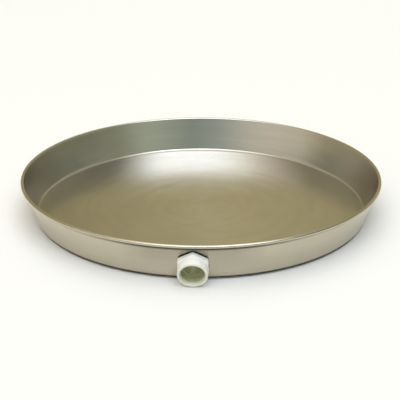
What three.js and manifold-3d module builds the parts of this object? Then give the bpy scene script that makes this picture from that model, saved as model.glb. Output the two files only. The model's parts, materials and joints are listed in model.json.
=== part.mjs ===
// Round drain pan: a spun aluminium tray with a rolled rim, and a white PVC drain outlet through its wall.
// Units are millimetres, +Z is up. The origin is the centre of the pan's underside, where it meets the floor.
// The drain outlet faces -Y and leans down, because it stands square to the flared wall.

import * as THREE from 'three';
import { mergeVertices } from 'three/addons/utils/BufferGeometryUtils.js';
import Module from 'manifold-3d';

const wasm = await Module();
wasm.setup();

// ---------------------------------------------------------------- driving dimensions

const INCH = 25.4;
const FIT_GAP = 0.3;

// Solids that are joined or cut run this far past the face they meet.
const OVERRUN = 1;
const CUTTER_REACH = 10;
const CONE_REACH = 40;

const pan = {
  rimDiameter: 24 * INCH,
  height: 2.5 * INCH,
  sheet: 0.9,
  flare: THREE.MathUtils.degToRad(16.3),
  beadDiameter: 5.7,
  insideCornerRadius: 4.5,
  curlMouth: 0.45,
  segments: 96,
};

const outlet = {
  axisHeight: 28,
  wallHoleRadius: 17.3,
  hexAcrossFlats: 44.4,
  hexThickness: 7.5,
  projection: 24,
  barrelRootRadius: 21.7,
  barrelMouthRadius: 22.1,
  mouthRounding: 1.5,
  socketRadius: 16.9,
  socketDepth: 16,
  leadInWidth: 2,
  leadInDepth: 4,
  boreRadius: 13.4,
  spigotRadius: 16.6,
  spigotReach: 15,
  spigotChamfer: 1.2,
  segments: 64,
};

const gasket = { thickness: 1.1, outerRadius: 22.9, innerRadius: 17 };
const washer = { thickness: 1.2, outerRadius: 24, innerRadius: 17 };
const locknut = { acrossFlats: 46, thickness: 9, threadChamfer: 1 };

// The corners of the nut and the flange are cut back by a 30 degree cone that starts just inside the flats.
const hexChamfer = { angle: Math.PI / 6, inset: 0.4 };

// ---------------------------------------------------------------- materials

const aluminium = new THREE.MeshStandardMaterial({ color: 0xa9a596, roughness: 0.35, metalness: 1 });
const whitePvc = new THREE.MeshStandardMaterial({ color: 0xf2f1ea, roughness: 0.35, metalness: 0 });
const blackRubber = new THREE.MeshStandardMaterial({ color: 0x1e1d1b, roughness: 0.8, metalness: 0 });

// ---------------------------------------------------------------- shape helpers

// Points along an arc from one angle to another, both ends included. Angles are in radians.
function arc(centre, radius, from, to, steps) {
  const points = [];
  for (let i = 0; i <= steps; i += 1) {
    const angle = from + ((to - from) * i) / steps;
    points.push(new THREE.Vector2(centre.x + radius * Math.cos(angle), centre.y + radius * Math.sin(angle)));
  }
  return points;
}

// Revolves a profile of (radius, height) points about the Z axis.
function turned(profile, segments) {
  const geometry = new THREE.LatheGeometry(profile, segments);
  geometry.rotateX(Math.PI / 2);
  return geometry;
}

// A solid bar of stepped or tapered section, given as [radius, height] stations from bottom to top.
function turnedBar(stations, segments) {
  const profile = stations.map(([radius, height]) => new THREE.Vector2(radius, height));
  profile.unshift(new THREE.Vector2(0, profile[0].y));
  profile.push(new THREE.Vector2(0, profile.at(-1).y));
  return turned(profile, segments);
}

// A hexagonal prism standing on z = bottom, with a corner pointing along +Y.
function hexPrism(acrossFlats, bottom, thickness) {
  const cornerRadius = acrossFlats / Math.sqrt(3);
  const outline = new THREE.Shape();
  for (let i = 0; i < 6; i += 1) {
    const angle = Math.PI / 2 + (i * Math.PI) / 3;
    const x = cornerRadius * Math.cos(angle);
    const y = cornerRadius * Math.sin(angle);
    if (i === 0) {
      outline.moveTo(x, y);
    } else {
      outline.lineTo(x, y);
    }
  }
  outline.closePath();
  const geometry = new THREE.ExtrudeGeometry(outline, { depth: thickness, bevelEnabled: false });
  geometry.translate(0, 0, bottom);
  return geometry;
}

function solid(geometry) {
  const bare = geometry.clone();
  bare.deleteAttribute('normal');
  bare.deleteAttribute('uv');
  const welded = mergeVertices(bare, 1e-5);
  const mesh = new wasm.Mesh({
    numProp: 3,
    vertProperties: new Float32Array(welded.attributes.position.array),
    triVerts: new Uint32Array(welded.index.array),
  });
  mesh.merge();
  return new wasm.Manifold(mesh);
}

function geometryOf(manifold) {
  const mesh = manifold.getMesh();
  const geometry = new THREE.BufferGeometry();
  geometry.setAttribute('position', new THREE.BufferAttribute(mesh.vertProperties, 3));
  geometry.setIndex(new THREE.BufferAttribute(mesh.triVerts, 1));
  geometry.computeVertexNormals();
  return geometry;
}

// Cuts the sharp corners off a hexagonal prism at its top face, at its bottom face, or at both.
function chamferHex(hex, acrossFlats, bottom, top, ends) {
  const flatRadius = acrossFlats / 2;
  const cornerRadius = acrossFlats / Math.sqrt(3);
  const faceRadius = flatRadius - hexChamfer.inset;
  const reach = cornerRadius + OVERRUN;
  const drop = (reach - faceRadius) * Math.tan(hexChamfer.angle);
  const stations = [];
  if (ends.includes('bottom')) {
    stations.push([faceRadius, bottom], [reach, bottom + drop]);
  } else {
    stations.push([reach, bottom]);
  }
  if (ends.includes('top')) {
    stations.push([reach, top - drop], [faceRadius, top]);
  } else {
    stations.push([reach, top]);
  }
  return hex.intersect(solid(turnedBar(stations, outlet.segments)));
}

function namedMesh(name, geometry, material) {
  const mesh = new THREE.Mesh(geometry, material);
  mesh.name = name;
  return mesh;
}

// ---------------------------------------------------------------- pan section

const wallUp = new THREE.Vector2(Math.sin(pan.flare), Math.cos(pan.flare));
const wallInward = new THREE.Vector2(-Math.cos(pan.flare), Math.sin(pan.flare));
const beadRadius = pan.beadDiameter / 2;
const beadCentre = new THREE.Vector2(pan.rimDiameter / 2 - beadRadius, pan.height - beadRadius);

// The wall's outer face runs tangent to the inside of the rolled bead.
const wallTop = beadCentre.clone().addScaledVector(wallInward, beadRadius - pan.sheet);

function outerWallRadius(height) {
  return wallTop.x - (wallTop.y - height) * Math.tan(pan.flare);
}

// Half section of the sheet, from the centre of the underside round to the centre of the floor.
function panProfile() {
  const cornerSteps = 4;
  const curlSteps = 11;
  const insideRadius = pan.insideCornerRadius;
  const outsideRadius = insideRadius + pan.sheet;
  const tangent = outsideRadius * Math.tan((Math.PI / 2 - pan.flare) / 2);
  const corner = new THREE.Vector2(outerWallRadius(0) - tangent, outsideRadius);
  const cornerEnd = -pan.flare;
  const curlStart = Math.PI - pan.flare;
  const curlSweep = 2 * Math.PI - Math.acos((beadRadius - pan.sheet - pan.curlMouth) / beadRadius);
  const curlEnd = curlStart - curlSweep;
  return [
    new THREE.Vector2(0, 0),
    ...arc(corner, outsideRadius, -Math.PI / 2, cornerEnd, cornerSteps),
    ...arc(beadCentre, beadRadius - pan.sheet, curlStart, curlEnd, curlSteps),
    ...arc(beadCentre, beadRadius, curlEnd, curlStart, curlSteps),
    ...arc(corner, insideRadius, cornerEnd, -Math.PI / 2, cornerSteps),
    new THREE.Vector2(0, pan.sheet),
  ];
}

// ---------------------------------------------------------------- outlet frame

// The outlet's own frame has +Z along its axis, out of the pan, and +Y up the slope of the wall.
const outletRoot = new THREE.Group();
outletRoot.position.set(0, -outerWallRadius(outlet.axisHeight), outlet.axisHeight);
outletRoot.rotation.x = Math.PI / 2 + pan.flare;
outletRoot.updateMatrixWorld(true);

// Moves a pan-centred geometry into the outlet's frame.
function inOutletFrame(geometry) {
  return geometry.clone().applyMatrix4(outletRoot.matrixWorld.clone().invert());
}

// A plain cone of the wall's slope, standing clear of a wall face, used to shape the seals to the wall.
function wallCone(offset) {
  const shift = offset / Math.cos(pan.flare);
  const bottom = -CONE_REACH;
  const top = pan.height + CONE_REACH;
  return solid(inOutletFrame(turnedBar(
    [[outerWallRadius(bottom) + shift, bottom], [outerWallRadius(top) + shift, top]],
    pan.segments,
  )));
}

const flangeBack = gasket.thickness + 2 * FIT_GAP;
const flangeFront = flangeBack + outlet.hexThickness;
const spigotEnd = -pan.sheet - outlet.spigotReach;
const washerBack = -pan.sheet - 2 * FIT_GAP - washer.thickness;
const nutTop = washerBack - FIT_GAP;
const nutBottom = nutTop - locknut.thickness;

// ---------------------------------------------------------------- parts

function makePan() {
  const hole = turnedBar(
    [[outlet.wallHoleRadius, -CUTTER_REACH], [outlet.wallHoleRadius, CUTTER_REACH]],
    outlet.segments,
  );
  hole.applyMatrix4(outletRoot.matrixWorld);
  return geometryOf(solid(turned(panProfile(), pan.segments)).subtract(solid(hole)));
}

// Hexagonal flange, round socket barrel outside it and threaded spigot through the wall, bored right through.
// The socket's mouth opens out in a shallow cone that leads the pipe in.
function makeDrainFitting() {
  const { segments, mouthRounding, projection, barrelMouthRadius, socketRadius } = outlet;
  const { leadInWidth, leadInDepth, spigotRadius, spigotChamfer } = outlet;
  const socketStop = projection - outlet.socketDepth;
  const leadInSlope = leadInWidth / leadInDepth;
  const hex = chamferHex(
    solid(hexPrism(outlet.hexAcrossFlats, flangeBack, outlet.hexThickness)),
    outlet.hexAcrossFlats, flangeBack, flangeFront, ['top'],
  );
  const roundingCentre = new THREE.Vector2(barrelMouthRadius - mouthRounding, projection - mouthRounding);
  const barrel = turned([
    new THREE.Vector2(0, flangeBack + OVERRUN),
    new THREE.Vector2(outlet.barrelRootRadius, flangeBack + OVERRUN),
    ...arc(roundingCentre, mouthRounding, 0, Math.PI / 2, 3),
    new THREE.Vector2(0, projection),
  ], segments);
  const spigot = turnedBar([
    [spigotRadius - spigotChamfer, spigotEnd],
    [spigotRadius, spigotEnd + spigotChamfer],
    [spigotRadius, flangeBack + OVERRUN],
  ], segments);
  const passage = turnedBar([
    [outlet.boreRadius, spigotEnd - OVERRUN],
    [outlet.boreRadius, socketStop],
    [socketRadius, socketStop],
    [socketRadius, projection - leadInDepth],
    [socketRadius + leadInWidth + OVERRUN * leadInSlope, projection + OVERRUN],
  ], segments);
  return geometryOf(hex.add(solid(barrel)).add(solid(spigot)).subtract(solid(passage)));
}

// Rubber ring squeezed between the flange and the wall: flat in front, curved to the wall behind.
function makeOuterGasket() {
  const front = flangeBack - FIT_GAP;
  const disc = turnedBar([[gasket.outerRadius, -CUTTER_REACH], [gasket.outerRadius, front]], outlet.segments);
  const hole = turnedBar(
    [[gasket.innerRadius, -CUTTER_REACH - OVERRUN], [gasket.innerRadius, front + OVERRUN]],
    outlet.segments,
  );
  return geometryOf(solid(disc).subtract(solid(hole)).subtract(wallCone(FIT_GAP)));
}

// Rubber ring under the locknut: flat where the nut bears, curved to the inside of the wall.
function makeInnerWasher() {
  const disc = turnedBar(
    [[washer.outerRadius, washerBack], [washer.outerRadius, CUTTER_REACH]],
    outlet.segments,
  );
  const hole = turnedBar(
    [[washer.innerRadius, washerBack - OVERRUN], [washer.innerRadius, CUTTER_REACH + OVERRUN]],
    outlet.segments,
  );
  return geometryOf(solid(disc).subtract(solid(hole)).intersect(wallCone(-pan.sheet - FIT_GAP)));
}

function makeLocknut() {
  const threadRadius = outlet.spigotRadius + FIT_GAP;
  const hex = chamferHex(
    solid(hexPrism(locknut.acrossFlats, nutBottom, locknut.thickness)),
    locknut.acrossFlats, nutBottom, nutTop, ['bottom'],
  );
  const hole = turnedBar([
    [threadRadius + locknut.threadChamfer + OVERRUN, nutBottom - OVERRUN],
    [threadRadius, nutBottom + locknut.threadChamfer],
    [threadRadius, nutTop + OVERRUN],
  ], outlet.segments);
  return geometryOf(hex.subtract(solid(hole)));
}

// ---------------------------------------------------------------- assembly

const drainPan = new THREE.Group();
drainPan.add(namedMesh('pan', makePan(), aluminium.clone()));
outletRoot.add(namedMesh('drain_fitting', makeDrainFitting(), whitePvc.clone()));
outletRoot.add(namedMesh('outer_gasket', makeOuterGasket(), blackRubber.clone()));
outletRoot.add(namedMesh('inner_washer', makeInnerWasher(), blackRubber.clone()));
outletRoot.add(namedMesh('locknut', makeLocknut(), whitePvc.clone()));
drainPan.add(outletRoot);

export default drainPan;
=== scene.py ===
"""Round aluminium drain pan with a rolled rim and a white PVC drain outlet.

Everything is in metres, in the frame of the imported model: the origin is the centre of the pan's underside,
+Z is up and the outlet faces -Y. Each piece is built finer than its CAD node, which it replaces.
"""

import json
import math

import bmesh
import bpy
from mathutils import Matrix, Vector


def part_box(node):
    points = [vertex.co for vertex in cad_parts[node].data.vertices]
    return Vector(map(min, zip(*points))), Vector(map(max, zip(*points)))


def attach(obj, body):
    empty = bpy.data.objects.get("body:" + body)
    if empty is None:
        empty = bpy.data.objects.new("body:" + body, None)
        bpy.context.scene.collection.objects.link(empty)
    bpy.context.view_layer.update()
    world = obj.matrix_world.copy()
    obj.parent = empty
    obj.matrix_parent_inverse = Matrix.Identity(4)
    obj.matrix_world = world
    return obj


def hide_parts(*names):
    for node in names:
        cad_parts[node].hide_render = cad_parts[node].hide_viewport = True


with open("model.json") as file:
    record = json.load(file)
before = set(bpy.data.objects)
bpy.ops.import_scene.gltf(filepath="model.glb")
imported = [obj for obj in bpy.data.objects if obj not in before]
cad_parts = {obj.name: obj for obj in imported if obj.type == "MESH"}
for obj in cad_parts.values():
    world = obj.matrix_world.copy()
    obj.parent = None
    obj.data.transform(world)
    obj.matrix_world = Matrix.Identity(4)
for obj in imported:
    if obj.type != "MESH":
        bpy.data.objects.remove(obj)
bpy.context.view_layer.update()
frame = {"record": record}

MM = 0.001
TAU = 2 * math.pi

# Most values of a noise texture lie in this range.
NOISE_RANGE = (0.3, 0.7)

# ------------------------------------------------------------------ pan sizes

pan_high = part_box("pan")[1]
RIM_RADIUS = pan_high.x
PAN_HEIGHT = pan_high.z
SHEET = 0.9 * MM
FLARE = math.radians(16.3)
BEAD_RADIUS = 2.85 * MM
CORNER_RADIUS = 4.5 * MM
CURL_MOUTH = 0.45 * MM
WALL_HOLE_RADIUS = 17.3 * MM

PAN_SIDES = 384
FLOOR_STEPS = 10
CORNER_STEPS = 10
WALL_STEPS = 12
CURL_INSIDE_STEPS = 28
CURL_OUTSIDE_STEPS = 32
LIP_STEPS = 6
HOLE_SIDES = 96
HOLE_CUTTER_REACH = 10 * MM
WELD_DISTANCE = 0.005 * MM

# ------------------------------------------------------------------ outlet sizes

# Heights along the outlet are from the wall's outside, and positive out of the pan.
mount = next(m for m in frame["record"]["mounts"] if m["name"] == "outlet_mouth")
MOUTH_POINT_OFFSET = 19.75 * MM
PROJECTION = 24 * MM

OUTLET_SIDES = 240

FLANGE_BACK = 1.7 * MM
HEX_THICKNESS = 7.5 * MM
HEX_FLATS = 44.4 * MM
HEX_CORNER_CUT = 0.9 * MM
HEX_CORNER_SOFTNESS = 0.5 * MM
HEX_CHAMFER_ANGLE = math.radians(30)
HEX_CHAMFER_INSET = 0.4 * MM
HEX_BEVEL = 0.35 * MM
HEX_BEVEL_STEPS = 6
FLANGE_FILLET = 0.5 * MM
FLANGE_FILLET_STEPS = 4

BARREL_ROOT = 21.7 * MM
BARREL_MOUTH = 22.1 * MM
MOUTH_ROUNDING = 1.5 * MM
MOUTH_ROUNDING_STEPS = 7
SOCKET_RADIUS = 16.9 * MM
SOCKET_DEPTH = 16 * MM
SOCKET_STOP = PROJECTION - SOCKET_DEPTH
LEAD_IN_RADIUS = SOCKET_RADIUS + 2 * MM
LEAD_IN_DEPTH = 4 * MM
SOCKET_EDGE = 0.3 * MM
MOUTH_EDGE_MIDDLE = 0.08 * MM
LEAD_IN_BLEND = 0.06 * MM
SOCKET_FOOT = 0.4 * MM
SOCKET_FOOT_MIDDLE = 0.1 * MM
BORE_RADIUS = 13.4 * MM
BORE_CHAMFER = 0.4 * MM

SPIGOT_RADIUS = 16.6 * MM
SPIGOT_END = -15.9 * MM
SPIGOT_CHAMFER = 2.3 * MM
SPIGOT_TIP_DROP = 0.6 * MM
NECK_RADIUS = SPIGOT_RADIUS - 0.6 * MM
THREAD_PITCH = 25.4 / 11.5 * MM
THREAD_DEPTH = 1.1 * MM
THREAD_STOP = -1.2 * MM
THREAD_END_GAP = 0.5 * MM
THREAD_RUN_IN = 0.8 * THREAD_PITCH
THREAD_ROOT_SHARE = 0.12
THREAD_FLANK_SHARE = 0.76
THREAD_STEPS = 78

NUT_TOP = -3.0 * MM
NUT_THICKNESS = 9 * MM
NUT_BOTTOM = NUT_TOP - NUT_THICKNESS
NUT_FLATS = 46 * MM
NUT_HOLE_RADIUS = SPIGOT_RADIUS + 0.1 * MM
NUT_BOTTOM_CHAMFER = 1.2 * MM
NUT_TOP_CHAMFER_WIDTH = 0.5 * MM
NUT_TOP_CHAMFER_DEPTH = 1 * MM

# Each pair is a ring's inset from the flats and its distance from the face.
FLANGE_BACK_EDGE = ((0.5 * MM, 0.0), (0.15 * MM, 0.12 * MM), (0.0, 0.5 * MM))
NUT_TOP_EDGE = ((0.0, 0.4 * MM), (0.12 * MM, 0.12 * MM), (0.4 * MM, 0.0))

SEAL_INNER_RADIUS = 17 * MM
SEAL_GAP = 0.15 * MM
SEAL_EDGE = 0.25 * MM
GASKET_OUTER_RADIUS = 22.9 * MM
GASKET_FRONT = 1.4 * MM
WASHER_OUTER_RADIUS = 24 * MM
WASHER_BACK = -2.7 * MM
WALL_SOLVE_STEPS = 12

# ------------------------------------------------------------------ painted shade and darkening

# Each pair is where a change starts and ends: a height above the floor, or a distance from the outlet's axis.
BEAD_FOOT = PAN_HEIGHT - 2 * BEAD_RADIUS
# Painted shade under the bead and along the foot spans these heights.
UNDER_BEAD_START = (BEAD_FOOT - 5.5 * MM, BEAD_FOOT - 2.5 * MM)
UNDER_BEAD_END = (BEAD_FOOT + 1 * MM, BEAD_FOOT + 2.5 * MM)
FOOT_SHADE_END = (4.2 * MM, 6.5 * MM)
# Darkening round the outlet, and painted shade and reflection over its flange, span these.
OUTLET_DARKENING_HEIGHT = (15 * MM, PAN_HEIGHT)
OUTLET_DARKENING_END = (BEAD_FOOT - 1 * MM, BEAD_FOOT + 0.5 * MM)
FLANGE_SHADE_START = (40 * MM, 46 * MM)
FLANGE_SHADE_REACH = (22 * MM, 38 * MM)

# The turn round the pan is y over the radius: -1 at the outlet and 1 behind. A share of 0 leaves the sheet as
# it is.
UNDER_BEAD_TURN = (-0.97, -0.85)
UNDER_BEAD_SHARES = (0.9, 0.35)
OUTLET_DARKENING_TURN = (-0.98, -0.93)
OUTLET_DARKENING_SHARES = (0.0, 0.45)
MOTTLE_SHARES = (0.3, 0.6)

# These are heights along the outlet.
PASSAGE_NARROWS = (SOCKET_STOP - 1 * MM, SOCKET_STOP - 0.3 * MM)
# Painted shade in the passage fades out here.
PASSAGE_SHADE_END = (PROJECTION - 6 * MM, PROJECTION + 1 * MM)
# Painted shade on the end face starts here.
MOUTH_SHADE_START = (PROJECTION - 1.6 * MM, PROJECTION - 0.4 * MM)
PASSAGE_EDGE_BLUR = 0.4 * MM

# The step from the inside to the outside of the sheet is this far each side of its middle.
WALL_SIDE_BLUR = 0.1 * MM

# ------------------------------------------------------------------ outlet frame

# Z runs along the outlet, out of the pan. Y runs up the slope of the wall.
outlet_z = Vector(mount["axis"]).normalized()
outlet_y = Vector((0, outlet_z.z, -outlet_z.y))
outlet_x = outlet_y.cross(outlet_z)
outlet_origin = Vector(mount["pos_m"]) - outlet_y * MOUTH_POINT_OFFSET - outlet_z * PROJECTION
OUTLET = Matrix((outlet_x, outlet_y, outlet_z)).transposed().to_4x4()
OUTLET.translation = outlet_origin

# ------------------------------------------------------------------ wall

inward = (-math.cos(FLARE), math.sin(FLARE))
bead_centre = (RIM_RADIUS - BEAD_RADIUS, PAN_HEIGHT - BEAD_RADIUS)
wall_top = (
    bead_centre[0] + inward[0] * (BEAD_RADIUS - SHEET),
    bead_centre[1] + inward[1] * (BEAD_RADIUS - SHEET),
)


def outer_wall_radius(height):
    return wall_top[0] - (wall_top[1] - height) * math.tan(FLARE)


# ------------------------------------------------------------------ mesh helpers


def arc(centre, radius, start, end, steps):
    """Points (r, z) along an arc, both ends included."""
    points = []
    for i in range(steps + 1):
        angle = start + (end - start) * i / steps
        points.append((centre[0] + radius * math.cos(angle), centre[1] + radius * math.sin(angle)))
    return points


def line(start, end, steps):
    """Points strictly between two ends."""
    return [
        (
            start[0] + (end[0] - start[0]) * i / steps,
            start[1] + (end[1] - start[1]) * i / steps,
        )
        for i in range(1, steps)
    ]


def circle(radius, height, count):
    return [
        (radius * math.sin(TAU * i / count), -radius * math.cos(TAU * i / count), height)
        for i in range(count)
    ]


def mesh_from_rings(name, rings, loop, matrix=None, sharp_degrees=35):
    """A smooth skin through rings of equal count. A ring of one point is a pole. loop joins last to first."""
    verts, starts = [], []
    for ring in rings:
        starts.append(len(verts))
        verts.extend(ring)
    faces = []
    pairs = list(zip(range(len(rings) - 1), range(1, len(rings))))
    if loop:
        pairs.append((len(rings) - 1, 0))
    for a, b in pairs:
        count = max(len(rings[a]), len(rings[b]))
        low_a, low_b = starts[a], starts[b]
        for i in range(count):
            j = (i + 1) % count
            if len(rings[a]) == 1:
                faces.append((low_a, low_b + j, low_b + i))
            elif len(rings[b]) == 1:
                faces.append((low_a + i, low_a + j, low_b))
            else:
                faces.append((low_a + i, low_a + j, low_b + j, low_b + i))
    mesh = bpy.data.meshes.new(name)
    mesh.from_pydata(verts, [], faces)
    if matrix is not None:
        mesh.transform(matrix)
    mesh.validate()
    shade(mesh, sharp_degrees)
    return mesh


def shade(mesh, sharp_degrees):
    mesh.polygons.foreach_set("use_smooth", [True] * len(mesh.polygons))
    mesh.set_sharp_from_angle(angle=math.radians(sharp_degrees))
    mesh.update()


def add_piece(name, mesh, node, material):
    piece = bpy.data.objects.new(name, mesh)
    bpy.context.scene.collection.objects.link(piece)
    mesh.materials.clear()
    mesh.materials.append(material)
    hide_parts(node)
    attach(piece, "root")


# ------------------------------------------------------------------ material helpers


def new_material(name):
    material = bpy.data.materials.new(name)
    material.use_nodes = True
    nodes = material.node_tree.nodes
    nodes.clear()
    output = nodes.new("ShaderNodeOutputMaterial")
    shader = nodes.new("ShaderNodeBsdfPrincipled")
    material.node_tree.links.new(shader.outputs["BSDF"], output.inputs["Surface"])
    return material, shader


class Graph:
    """Short calls for building a node tree."""

    def __init__(self, tree):
        self.tree = tree

    def link(self, value, socket):
        if isinstance(value, bpy.types.NodeSocket):
            self.tree.links.new(value, socket)
        else:
            socket.default_value = value

    def node(self, kind, **settings):
        node = self.tree.nodes.new(kind)
        for key, value in settings.items():
            setattr(node, key, value)
        return node

    def math(self, operation, a, b=0.0):
        node = self.node("ShaderNodeMath", operation=operation)
        self.link(a, node.inputs[0])
        self.link(b, node.inputs[1])
        return node.outputs[0]

    def product(self, first, *others):
        for other in others:
            first = self.math("MULTIPLY", first, other)
        return first

    def position(self):
        return self.node("ShaderNodeTexCoord").outputs["Object"]

    def split(self, vector):
        node = self.node("ShaderNodeSeparateXYZ")
        self.link(vector, node.inputs[0])
        return node.outputs

    def join(self, x, y, z):
        node = self.node("ShaderNodeCombineXYZ")
        for value, socket in zip((x, y, z), node.inputs):
            self.link(value, socket)
        return node.outputs[0]

    def noise(self, vector, scale, detail, roughness):
        node = self.node("ShaderNodeTexNoise")
        self.link(vector, node.inputs["Vector"])
        node.inputs["Scale"].default_value = scale
        node.inputs["Detail"].default_value = detail
        node.inputs["Roughness"].default_value = roughness
        return node.outputs["Fac"]

    def span(self, value, limits, results):
        """Maps a value between two limits to a value between two results, and holds it outside them."""
        node = self.node("ShaderNodeMapRange")
        self.link(value, node.inputs["Value"])
        for name, number in zip(("From Min", "From Max", "To Min", "To Max"), (*limits, *results)):
            node.inputs[name].default_value = number
        return node.outputs["Result"]

    def rise(self, value, limits):
        return self.span(value, limits, (0.0, 1.0))

    def fall(self, value, limits):
        return self.span(value, limits, (1.0, 0.0))

    def ramp(self, value, stops):
        node = self.node("ShaderNodeValToRGB")
        self.link(value, node.inputs["Fac"])
        elements = node.color_ramp.elements
        while len(elements) > len(stops):
            elements.remove(elements[-1])
        while len(elements) < len(stops):
            elements.new(1.0)
        for element, (place, colour) in zip(elements, stops):
            element.position = place
            element.color = (*colour, 1.0)
        return node.outputs["Color"]

    def mix(self, share, first, second):
        node = self.node("ShaderNodeMix", data_type="RGBA")
        self.link(share, node.inputs["Factor"])
        for colour, socket in zip((first, second), (node.inputs[6], node.inputs[7])):
            self.link(colour if isinstance(colour, bpy.types.NodeSocket) else (*colour, 1.0), socket)
        return node.outputs[2]

    def bump(self, height, strength, distance, normal=None):
        node = self.node("ShaderNodeBump")
        node.inputs["Strength"].default_value = strength
        node.inputs["Distance"].default_value = distance
        self.link(height, node.inputs["Height"])
        if normal is not None:
            self.link(normal, node.inputs["Normal"])
        return node.outputs["Normal"]


# ------------------------------------------------------------------ materials


def outlet_coordinates(g, position):
    """Height along the outlet's axis and distance from it."""
    from_origin = g.node("ShaderNodeVectorMath", operation="SUBTRACT")
    g.link(position, from_origin.inputs[0])
    g.link(tuple(outlet_origin), from_origin.inputs[1])
    along = g.node("ShaderNodeVectorMath", operation="DOT_PRODUCT")
    g.link(from_origin.outputs["Vector"], along.inputs[0])
    g.link(tuple(outlet_z), along.inputs[1])
    across = g.node("ShaderNodeVectorMath", operation="CROSS_PRODUCT")
    g.link(from_origin.outputs["Vector"], across.inputs[0])
    g.link(tuple(outlet_z), across.inputs[1])
    length = g.node("ShaderNodeVectorMath", operation="LENGTH")
    g.link(across.outputs["Vector"], length.inputs[0])
    return along.outputs["Value"], length.outputs["Value"]


def pan_shade_and_darkening(g, position, radius, turn, z):
    """Masks for the outside of the pan, the painted shade on it, and the darkening near its outlet."""
    wall_middle = outer_wall_radius(0) - SHEET / 2
    flare = g.math("MULTIPLY", z, math.tan(FLARE))
    from_middle = g.math("SUBTRACT", g.math("SUBTRACT", radius, wall_middle), flare)
    outside = g.rise(from_middle, (-WALL_SIDE_BLUR, WALL_SIDE_BLUR))
    # Painted shade darkens the corner under the bead, most of all near the outlet, and runs along the foot
    # where the pan meets the floor.
    under_bead = g.product(
        g.rise(z, UNDER_BEAD_START),
        g.fall(z, UNDER_BEAD_END),
        g.span(turn, UNDER_BEAD_TURN, UNDER_BEAD_SHARES),
    )
    along_foot = g.fall(z, FOOT_SHADE_END)
    # Darkening near the outlet: a wide patch round it that grows towards the bead, and over its flange a
    # mottled patch of painted shade and reflection.
    by_outlet = g.product(
        g.fall(turn, OUTLET_DARKENING_TURN),
        g.span(z, OUTLET_DARKENING_HEIGHT, OUTLET_DARKENING_SHARES),
        g.fall(z, OUTLET_DARKENING_END),
    )
    from_outlet = outlet_coordinates(g, position)[1]
    mottle = g.noise(position, scale=90, detail=2.0, roughness=0.5)
    over_flange = g.product(
        g.fall(from_outlet, FLANGE_SHADE_REACH),
        g.rise(z, FLANGE_SHADE_START),
        g.span(mottle, NOISE_RANGE, MOTTLE_SHARES),
    )
    painted_shade = g.product(g.math("MAXIMUM", under_bead, along_foot), outside)
    outlet_darkening = g.product(g.math("MAXIMUM", by_outlet, over_flange), outside)
    return outside, painted_shade, outlet_darkening


def spun_aluminium():
    """Bare sheet with fine lines round the pan's axis, faint bands, soft dents and smudges, a painted warm
    reflection tint on the outside, painted shade under the bead and along the foot, and darkening near the
    outlet.
    """
    bare_dark, bare_light = (0.50, 0.475, 0.42), (0.57, 0.545, 0.49)
    painted_warm_tint, warm_tint_share = (0.54, 0.46, 0.27), 0.4
    darkening_colour = (0.08, 0.07, 0.055)
    painted_shade_colour = (0.015, 0.015, 0.01)
    painted_shade_roughness = 0.6
    bare_roughness_range = (0.2, 0.268)
    line_spread, band_spread = 0.004, 0.03
    wall_stretch = 1.3
    material, shader = new_material("spun_aluminium")
    g = Graph(material.node_tree)
    position = g.position()
    x, y, z = g.split(position)
    radius = g.math("SQRT", g.math("ADD", g.math("MULTIPLY", x, x), g.math("MULTIPLY", y, y)))
    safe_radius = g.math("MAXIMUM", radius, 1 * MM)
    side = g.math("DIVIDE", x, safe_radius)
    turn = g.math("DIVIDE", y, safe_radius)
    across = g.math("ADD", radius, g.math("MULTIPLY", z, wall_stretch))

    def round_noise(spread, scale, roughness):
        """Noise on a small circle, which keeps it seamless round the pan and long along the lines."""
        place = g.join(g.math("MULTIPLY", side, spread), g.math("MULTIPLY", turn, spread), across)
        return g.noise(place, scale, detail=3.0, roughness=roughness)

    lines = round_noise(line_spread, scale=500, roughness=0.6)
    bands = round_noise(band_spread, scale=70, roughness=0.5)
    smudges = g.noise(position, scale=7, detail=4.0, roughness=0.6)
    dents = g.noise(position, scale=5, detail=1.0, roughness=0.4)
    tone = g.math("ADD", g.math("MULTIPLY", bands, 0.5), g.math("MULTIPLY", smudges, 0.5))
    outside, painted_shade, outlet_darkening = pan_shade_and_darkening(g, position, radius, turn, z)
    colour = g.ramp(tone, [(0.3, bare_dark), (0.7, bare_light)])
    # Painted reflection: the outside of the wall is tinted warm.
    colour = g.mix(g.math("MULTIPLY", outside, warm_tint_share), colour, painted_warm_tint)
    # Darkening near the outlet, with painted shade and reflection over the flange.
    colour = g.mix(outlet_darkening, colour, darkening_colour)
    # Painted shade under the bead and along the foot: near black, not metallic and rougher.
    colour = g.mix(painted_shade, colour, painted_shade_colour)
    g.link(colour, shader.inputs["Base Color"])
    g.link(g.math("SUBTRACT", 1.0, painted_shade), shader.inputs["Metallic"])
    grain = g.math("ADD", g.math("MULTIPLY", lines, 0.4), g.math("MULTIPLY", smudges, 0.6))
    bare_roughness = g.span(grain, NOISE_RANGE, bare_roughness_range)
    roughness = g.math("ADD", bare_roughness, g.math("MULTIPLY", painted_shade, painted_shade_roughness))
    g.link(roughness, shader.inputs["Roughness"])
    shader.inputs["Anisotropic"].default_value = 0.3
    shader.inputs["Anisotropic Rotation"].default_value = 0.25
    tangent = g.node("ShaderNodeTangent", direction_type="RADIAL", axis="Z")
    g.link(tangent.outputs[0], shader.inputs["Tangent"])
    dented = g.bump(dents, strength=0.3, distance=3 * MM)
    banded = g.bump(bands, strength=0.05, distance=0.3 * MM, normal=dented)
    g.link(banded, shader.inputs["Normal"])
    return material


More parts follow.
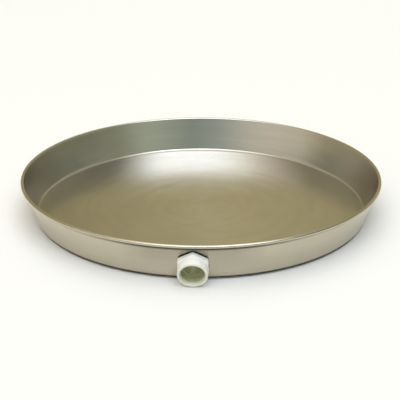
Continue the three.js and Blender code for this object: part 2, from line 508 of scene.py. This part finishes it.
def white_pvc():
    """Moulded white PVC: semi-gloss, faintly uneven, with the milky glow of solid plastic."""
    white_dark, white_light = (0.81, 0.79, 0.71), (0.84, 0.82, 0.75)
    passage_shade_colour = (0.42, 0.43, 0.25)
    mouth_shade_colour, mouth_shade_share = (0.42, 0.43, 0.3), 0.3
    gloss_range = (0.3, 0.4)
    material, shader = new_material("white_pvc")
    g = Graph(material.node_tree)
    position = g.position()
    clouds = g.noise(position, scale=60, detail=3.0, roughness=0.5)
    pores = g.noise(position, scale=900, detail=2.0, roughness=0.6)
    colour = g.ramp(clouds, [(0.3, white_dark), (0.7, white_light)])
    # Painted shade: the passage through the fitting is darkened to a dull olive, more so with depth.
    depth, from_axis = outlet_coordinates(g, position)
    passage_radius = g.span(depth, PASSAGE_NARROWS, (BORE_RADIUS, LEAD_IN_RADIUS))
    inside = g.fall(g.math("SUBTRACT", from_axis, passage_radius), (0.0, PASSAGE_EDGE_BLUR))
    passage_shade = g.fall(depth, PASSAGE_SHADE_END)
    colour = g.mix(g.math("MULTIPLY", inside, passage_shade), colour, passage_shade_colour)
    # Painted shade: the end face is darkened a little.
    mouth_shade = g.span(depth, MOUTH_SHADE_START, (0.0, mouth_shade_share))
    colour = g.mix(mouth_shade, colour, mouth_shade_colour)
    g.link(colour, shader.inputs["Base Color"])
    g.link(g.span(clouds, NOISE_RANGE, gloss_range), shader.inputs["Roughness"])
    shader.inputs["IOR"].default_value = 1.53
    shader.inputs["Subsurface Weight"].default_value = 0.05
    shader.inputs["Subsurface Scale"].default_value = 4 * MM
    shader.inputs["Subsurface Radius"].default_value = (1.0, 0.9, 0.7)
    uneven = g.bump(clouds, strength=0.15, distance=0.8 * MM)
    porous = g.bump(pores, strength=0.12, distance=0.08 * MM, normal=uneven)
    g.link(porous, shader.inputs["Normal"])
    return material


def black_rubber():
    """Matte black rubber with a dusty bloom and a fine grain."""
    rubber_dark, rubber_light = (0.012, 0.012, 0.011), (0.035, 0.034, 0.032)
    matte_range = (0.65, 0.85)
    material, shader = new_material("black_rubber")
    g = Graph(material.node_tree)
    position = g.position()
    bloom = g.noise(position, scale=150, detail=4.0, roughness=0.6)
    grain = g.noise(position, scale=2500, detail=2.0, roughness=0.6)
    g.link(g.ramp(bloom, [(0.35, rubber_dark), (0.75, rubber_light)]), shader.inputs["Base Color"])
    g.link(g.span(bloom, NOISE_RANGE, matte_range), shader.inputs["Roughness"])
    g.link(g.bump(grain, strength=0.3, distance=0.1 * MM), shader.inputs["Normal"])
    return material


ALUMINIUM = spun_aluminium()
PVC = white_pvc()
RUBBER = black_rubber()

# ------------------------------------------------------------------ pan


def pan_profile():
    """The sheet's half section, from the centre of the underside round the rim to the centre of the floor."""
    outside = CORNER_RADIUS + SHEET
    tangent = outside * math.tan((math.pi / 2 - FLARE) / 2)
    corner = (outer_wall_radius(0) - tangent, outside)
    curl_start = math.pi - FLARE
    curl_end = curl_start - TAU + math.acos((BEAD_RADIUS - SHEET - CURL_MOUTH) / BEAD_RADIUS)
    lip_radius = SHEET / 2
    lip_centre = (
        bead_centre[0] + (BEAD_RADIUS - lip_radius) * math.cos(curl_end),
        bead_centre[1] + (BEAD_RADIUS - lip_radius) * math.sin(curl_end),
    )
    under_corner = arc(corner, outside, -math.pi / 2, -FLARE, CORNER_STEPS)
    curl_inside = arc(bead_centre, BEAD_RADIUS - SHEET, curl_start, curl_end, CURL_INSIDE_STEPS)
    lip = arc(lip_centre, lip_radius, curl_end + math.pi, curl_end + TAU, LIP_STEPS)
    curl_outside = arc(bead_centre, BEAD_RADIUS, curl_end, curl_start, CURL_OUTSIDE_STEPS)
    floor_corner = arc(corner, CORNER_RADIUS, -FLARE, -math.pi / 2, CORNER_STEPS)
    centre_low, centre_high = (0.0, 0.0), (0.0, SHEET)
    return [
        centre_low,
        *line(centre_low, under_corner[0], FLOOR_STEPS),
        *under_corner,
        *line(under_corner[-1], curl_inside[0], WALL_STEPS),
        *curl_inside,
        *lip[1:-1],
        *curl_outside,
        *line(curl_outside[-1], floor_corner[0], WALL_STEPS),
        *floor_corner,
        *line(floor_corner[-1], centre_high, FLOOR_STEPS),
        centre_high,
    ]


def weld(mesh, distance):
    """Joins points that nearly touch and drops the faces this flattens."""
    work = bmesh.new()
    work.from_mesh(mesh)
    bmesh.ops.remove_doubles(work, verts=work.verts, dist=distance)
    bmesh.ops.dissolve_degenerate(work, edges=work.edges, dist=distance)
    work.to_mesh(mesh)
    work.free()


def cut_round_hole(mesh, radius, matrix):
    """Cuts a round hole through a mesh, along the given frame's Z."""
    cutter_rings = [
        [(0, 0, -HOLE_CUTTER_REACH)],
        circle(radius, -HOLE_CUTTER_REACH, HOLE_SIDES),
        circle(radius, HOLE_CUTTER_REACH, HOLE_SIDES),
        [(0, 0, HOLE_CUTTER_REACH)],
    ]
    cutter_mesh = mesh_from_rings("cutter", cutter_rings, loop=False, matrix=matrix)
    cutter = bpy.data.objects.new("cutter", cutter_mesh)
    body = bpy.data.objects.new("uncut", mesh)
    for obj in (cutter, body):
        bpy.context.scene.collection.objects.link(obj)
    cut = body.modifiers.new("hole", "BOOLEAN")
    cut.operation = "DIFFERENCE"
    cut.solver = "EXACT"
    cut.object = cutter
    bpy.context.view_layer.update()
    result = bpy.data.meshes.new_from_object(body.evaluated_get(bpy.context.evaluated_depsgraph_get()))
    for obj in (cutter, body):
        bpy.data.objects.remove(obj)
    bpy.data.meshes.remove(cutter_mesh)
    bpy.data.meshes.remove(mesh)
    weld(result, WELD_DISTANCE)
    return result


def build_pan():
    profile = pan_profile()
    rings = [circle(radius, height, PAN_SIDES) for radius, height in profile[1:-1]]
    poles = [[(0, 0, height)] for _, height in (profile[0], profile[-1])]
    mesh = mesh_from_rings("pan_shell", [poles[0], *rings, poles[1]], loop=False)
    mesh = cut_round_hole(mesh, WALL_HOLE_RADIUS, OUTLET)
    mesh.name = "pan_shell"
    shade(mesh, sharp_degrees=40)
    add_piece("pan_shell", mesh, "pan", ALUMINIUM)


build_pan()

# ------------------------------------------------------------------ outlet pieces


def polar_ring(radius_at, height_at):
    """A ring whose radius and height are functions of the angle."""
    ring = []
    for i in range(OUTLET_SIDES):
        angle = TAU * i / OUTLET_SIDES
        radius = radius_at(angle)
        ring.append((radius * math.sin(angle), radius * math.cos(angle), height_at(angle)))
    return ring[::-1]


def plain(value):
    return lambda angle: value


def round_ring(radius, height):
    return polar_ring(plain(radius), plain(height))


def hexagon(across_flats, inset=0.0):
    """Radius of a hexagon with a corner along +Y, and its corners softly rounded off."""
    round_from = across_flats / math.sqrt(3) - HEX_CORNER_CUT - HEX_CORNER_SOFTNESS

    def radius(angle):
        from_flat = (angle % (math.pi / 3)) - math.pi / 6
        value = (across_flats / 2 - inset) / math.cos(from_flat)
        if value > round_from:
            fade = math.exp((round_from - value) / HEX_CORNER_SOFTNESS)
            value = round_from + HEX_CORNER_SOFTNESS * (1 - fade)
        return value

    return radius


def chamfered_hex_rings(across_flats, face, facing):
    """Rings from a hexagonal prism's side over its corner chamfer to its face, which faces +1 or -1."""
    chamfer_radius = across_flats / 2 - HEX_CHAMFER_INSET
    rings = []
    for step in range(HEX_BEVEL_STEPS + 1):
        turn = step / HEX_BEVEL_STEPS * math.pi / 2
        below_face = HEX_BEVEL * (1 - math.sin(turn))
        outline = hexagon(across_flats, HEX_BEVEL * (1 - math.cos(turn)))

        def height(angle, below_face=below_face, outline=outline):
            drop = max(0.0, outline(angle) - chamfer_radius) * math.tan(HEX_CHAMFER_ANGLE)
            return face - facing * (below_face + drop)

        rings.append(polar_ring(outline, height))
    return rings


def thread_ring(height):
    """One ring of the spigot's helical thread, which fades in from the spigot's end."""
    run_in = min(1.0, max(0.0, (height - SPIGOT_END) / THREAD_RUN_IN))

    def radius(angle):
        phase = (height / THREAD_PITCH + angle / TAU) % 1.0
        tooth = (abs(2 * phase - 1) - THREAD_ROOT_SHARE) / THREAD_FLANK_SHARE
        tooth = min(1.0, max(0.0, tooth))
        depth = THREAD_DEPTH * (1 - tooth * run_in)
        return SPIGOT_RADIUS - depth - SPIGOT_TIP_DROP * (1 - run_in) ** 2

    return polar_ring(radius, plain(height))


def build_fitting():
    thread_start = SPIGOT_END + THREAD_END_GAP
    thread_length = THREAD_STOP - thread_start
    front = FLANGE_BACK + HEX_THICKNESS
    fillet_centre = (BARREL_ROOT + FLANGE_FILLET, front + FLANGE_FILLET)
    fillet = arc(fillet_centre, FLANGE_FILLET, -math.pi / 2, -math.pi, FLANGE_FILLET_STEPS)
    shoulder_centre = (BARREL_MOUTH - MOUTH_ROUNDING, PROJECTION - MOUTH_ROUNDING)
    shoulder = arc(shoulder_centre, MOUTH_ROUNDING, 0, math.pi / 2, MOUTH_ROUNDING_STEPS)
    rings = [
        round_ring(BORE_RADIUS, SPIGOT_END + BORE_CHAMFER),
        round_ring(BORE_RADIUS + BORE_CHAMFER, SPIGOT_END),
        round_ring(SPIGOT_RADIUS - SPIGOT_CHAMFER, SPIGOT_END),
    ]
    for i in range(THREAD_STEPS + 1):
        rings.append(thread_ring(thread_start + thread_length * i / THREAD_STEPS))
    rings.append(round_ring(NECK_RADIUS, THREAD_STOP + THREAD_END_GAP))
    rings.append(round_ring(NECK_RADIUS, FLANGE_BACK))
    for inset, distance in FLANGE_BACK_EDGE:
        rings.append(polar_ring(hexagon(HEX_FLATS, inset), plain(FLANGE_BACK + distance)))
    rings.extend(chamfered_hex_rings(HEX_FLATS, front, 1))
    for radius, height in (*fillet, *shoulder):
        rings.append(round_ring(radius, height))
    for radius, height in (
        (LEAD_IN_RADIUS + SOCKET_EDGE, PROJECTION),
        (LEAD_IN_RADIUS + MOUTH_EDGE_MIDDLE, PROJECTION - MOUTH_EDGE_MIDDLE),
        (LEAD_IN_RADIUS, PROJECTION - SOCKET_EDGE),
        (SOCKET_RADIUS + LEAD_IN_BLEND, PROJECTION - LEAD_IN_DEPTH + SOCKET_EDGE),
        (SOCKET_RADIUS, PROJECTION - LEAD_IN_DEPTH - SOCKET_EDGE),
        (SOCKET_RADIUS - SOCKET_FOOT_MIDDLE, SOCKET_STOP + SOCKET_EDGE),
        (SOCKET_RADIUS - SOCKET_FOOT, SOCKET_STOP),
        (BORE_RADIUS + BORE_CHAMFER, SOCKET_STOP),
        (BORE_RADIUS, SOCKET_STOP - BORE_CHAMFER),
    ):
        rings.append(round_ring(radius, height))
    mesh = mesh_from_rings("drain_fitting_moulding", rings, loop=True, matrix=OUTLET, sharp_degrees=38)
    add_piece("drain_fitting_moulding", mesh, "drain_fitting", PVC)


def build_locknut():
    rings = [
        round_ring(NUT_HOLE_RADIUS, NUT_TOP - NUT_TOP_CHAMFER_DEPTH),
        round_ring(NUT_HOLE_RADIUS, NUT_BOTTOM + NUT_BOTTOM_CHAMFER),
        round_ring(NUT_HOLE_RADIUS + NUT_BOTTOM_CHAMFER, NUT_BOTTOM),
    ]
    rings.extend(chamfered_hex_rings(NUT_FLATS, NUT_BOTTOM, -1)[::-1])
    for inset, distance in NUT_TOP_EDGE:
        rings.append(polar_ring(hexagon(NUT_FLATS, inset), plain(NUT_TOP - distance)))
    rings.append(round_ring(NUT_HOLE_RADIUS + NUT_TOP_CHAMFER_WIDTH, NUT_TOP))
    mesh = mesh_from_rings("locknut_moulding", rings, loop=True, matrix=OUTLET, sharp_degrees=38)
    add_piece("locknut_moulding", mesh, "locknut", PVC)


def wall_depth(radius, angle, offset):
    """Outlet height where a line parallel to the outlet's axis meets the wall, or a face offset from it."""
    x, y = -radius * math.sin(angle), radius * math.cos(angle)
    height = 0.0
    for _ in range(WALL_SOLVE_STEPS):
        point = OUTLET @ Vector((x, y, height))
        gap = math.hypot(point.x, point.y) - outer_wall_radius(point.z) - offset / math.cos(FLARE)
        height -= gap * math.cos(FLARE)
    return height


def build_seal(name, node, outer, flat, offset, sign):
    """A rubber ring with a face curved to the wall, a flat face, and a slight bulge round its edge.

    flat is the flat face's height along the outlet, offset is the curved face's distance from the wall's
    outside, and sign is +1 for a ring outside the wall and -1 for one inside it.
    """
    inner = SEAL_INNER_RADIUS

    def curved(radius, lift=0.0):
        return lambda angle: wall_depth(radius, -angle, offset) + sign * lift

    def middle(radius):
        return lambda angle: (wall_depth(radius, -angle, offset) + flat) / 2

    rings = [
        polar_ring(plain(inner), curved(inner, SEAL_EDGE)),
        polar_ring(plain(inner + SEAL_EDGE), curved(inner + SEAL_EDGE)),
        polar_ring(plain(outer - SEAL_EDGE), curved(outer - SEAL_EDGE)),
        polar_ring(plain(outer), curved(outer, SEAL_EDGE)),
        polar_ring(plain(outer + SEAL_EDGE), middle(outer)),
        round_ring(outer, flat - sign * SEAL_EDGE),
        round_ring(outer - SEAL_EDGE, flat),
        round_ring(inner + SEAL_EDGE, flat),
        round_ring(inner, flat - sign * SEAL_EDGE),
    ]
    if sign < 0:
        rings.reverse()
    mesh = mesh_from_rings(name, rings, loop=True, matrix=OUTLET, sharp_degrees=50)
    add_piece(name, mesh, node, RUBBER)


build_fitting()
build_locknut()
build_seal("outer_gasket_ring", "outer_gasket", GASKET_OUTER_RADIUS, GASKET_FRONT, SEAL_GAP, 1)
build_seal("inner_washer_ring", "inner_washer", WASHER_OUTER_RADIUS, WASHER_BACK, -SHEET - SEAL_GAP, -1)

# ------------------------------------------------------------------ floor, light and camera


def build_floor():
    """A plain pale disc just under the pan."""
    inner_radius, outer_radius, sides = 3, 14, 64
    rings = [[(0, 0, 0)], circle(inner_radius, 0, sides), circle(outer_radius, 0, sides)]
    mesh = mesh_from_rings("floor", rings, loop=False)
    floor = bpy.data.objects.new("floor", mesh)
    bpy.context.scene.collection.objects.link(floor)
    floor.location.z = -1 * MM
    material, shader = new_material("floor")
    shader.inputs["Base Color"].default_value = (0.9, 0.88, 0.84, 1)
    shader.inputs["Roughness"].default_value = 0.6
    mesh.materials.append(material)


# Colours by azimuth in degrees: 0 is in front of the outlet and 90 is at its right.
WALLS = [
    (-180, (0.60, 0.53, 0.29)),
    (-165, (0.385, 0.335, 0.185)),
    (-150, (0.45, 0.40, 0.26)),
    (-95, (0.50, 0.45, 0.29)),
    (-72, (0.88, 0.83, 0.68)),
    (-50, (0.97, 0.90, 0.78)),
    (-32, (0.85, 0.85, 0.75)),
    (-12, (0.53, 0.60, 0.56)),
    (9, (0.35, 0.42, 0.38)),
    (28, (0.52, 0.60, 0.51)),
    (45, (0.58, 0.66, 0.54)),
    (64, (0.31, 0.34, 0.25)),
    (85, (0.19, 0.21, 0.14)),
    (165, (0.385, 0.335, 0.185)),
    (180, (0.60, 0.53, 0.29)),
]
WINDOWS = [
    (-180, (1.8, 1.8, 1.7)),
    (-150, (1.0, 1.0, 0.95)),
    (-105, (0.55, 0.5, 0.4)),
    (-80, (1.2, 1.1, 0.95)),
    (-50, (2.3, 2.2, 2.3)),
    (-28, (3.4, 3.7, 4.0)),
    (-10, (4.1, 4.5, 5.3)),
    (44, (4.1, 4.5, 5.3)),
    (60, (2.2, 2.4, 2.6)),
    (80, (0.6, 0.6, 0.5)),
    (110, (0.45, 0.45, 0.4)),
    (150, (1.0, 1.0, 0.95)),
    (180, (1.8, 1.8, 1.7)),
]
CEILING_LEFT = (1.5, 1.5, 1.45)
CEILING_RIGHT = (2.0, 2.0, 1.95)
FRIEZE_COLOUR = (0.1, 0.1, 0.06)
FRIEZE_SHARE = 0.35
DOORWAY_COLOUR = (0.85, 0.82, 0.7)

# Each pair is where a change starts and ends, along one axis of the unit direction.
FRONT_TO_BACK = (-0.5, 0.0)
CEILING_LEFT_TO_RIGHT = (-0.45, 0.45)
FRIEZE_FOOT = (0.24, 0.38)
DOORWAY_SIDE = (0.3, 0.5)
DOORWAY_FOOT = (0.2, 0.26)
DOORWAY_HEAD = (0.36, 0.42)
SILL_IN_FRONT = (0.64, 0.72)
SILL_BEHIND = (0.55, 0.92)
WINDOW_HEAD = (0.88, 0.94)


def build_world():
    """A plain, softly lit room: a low band of wall tones, then tall bright windows, and a ceiling."""
    world = bpy.data.worlds.new("room")
    bpy.context.scene.world = world
    world.use_nodes = True
    world.node_tree.nodes.clear()
    g = Graph(world.node_tree)
    output = g.node("ShaderNodeOutputWorld")
    background = g.node("ShaderNodeBackground")
    direction = g.node("ShaderNodeTexCoord").outputs["Generated"]
    x, y, z = g.split(direction)
    azimuth = g.math("ARCTAN2", x, g.math("MULTIPLY", y, -1.0))
    turn = g.rise(azimuth, (-math.pi, math.pi))

    def band(stops):
        return g.ramp(turn, [((degrees + 180) / 360, colour) for degrees, colour in stops])

    in_front = g.fall(y, FRONT_TO_BACK)
    behind = g.math("SUBTRACT", 1.0, in_front)
    walls = band(WALLS)
    frieze = g.mix(FRIEZE_SHARE, walls, FRIEZE_COLOUR)
    colour = g.mix(g.product(g.rise(z, FRIEZE_FOOT), in_front), walls, frieze)
    # A lit doorway stands at the right, behind the pan.
    doorway = g.product(
        g.rise(x, DOORWAY_SIDE),
        behind,
        g.rise(z, DOORWAY_FOOT),
        g.fall(z, DOORWAY_HEAD),
    )
    colour = g.mix(doorway, colour, DOORWAY_COLOUR)
    above_sill = g.math(
        "ADD",
        g.product(g.rise(z, SILL_IN_FRONT), in_front),
        g.product(g.rise(z, SILL_BEHIND), behind),
    )
    colour = g.mix(above_sill, colour, band(WINDOWS))
    ceiling = g.mix(g.rise(x, CEILING_LEFT_TO_RIGHT), CEILING_LEFT, CEILING_RIGHT)
    colour = g.mix(g.rise(z, WINDOW_HEAD), colour, ceiling)
    g.link(colour, background.inputs["Color"])
    background.inputs["Strength"].default_value = 1.0
    world.node_tree.links.new(background.outputs[0], output.inputs["Surface"])


def build_camera():
    """The pan fills the width of the view, seen from 20.5 degrees above its rim and a little to the right."""
    distance = 4.92 * RIM_RADIUS
    elevation = math.radians(20.54)
    azimuth = math.radians(2.2)
    pitch = math.radians(22.54)
    yaw = math.radians(0.07)
    data = bpy.data.cameras.new("camera")
    data.sensor_width = 36
    data.lens = 78.561
    data.clip_end = 50
    camera = bpy.data.objects.new("camera", data)
    bpy.context.scene.collection.objects.link(camera)
    camera.location = (
        math.sin(azimuth) * math.cos(elevation) * distance,
        -math.cos(azimuth) * math.cos(elevation) * distance,
        PAN_HEIGHT + math.sin(elevation) * distance,
    )
    camera.rotation_euler = (math.pi / 2 - pitch, 0, azimuth + yaw)
    bpy.context.scene.camera = camera


build_floor()
build_world()
build_camera()

bpy.context.scene.view_settings.view_transform = "Standard"
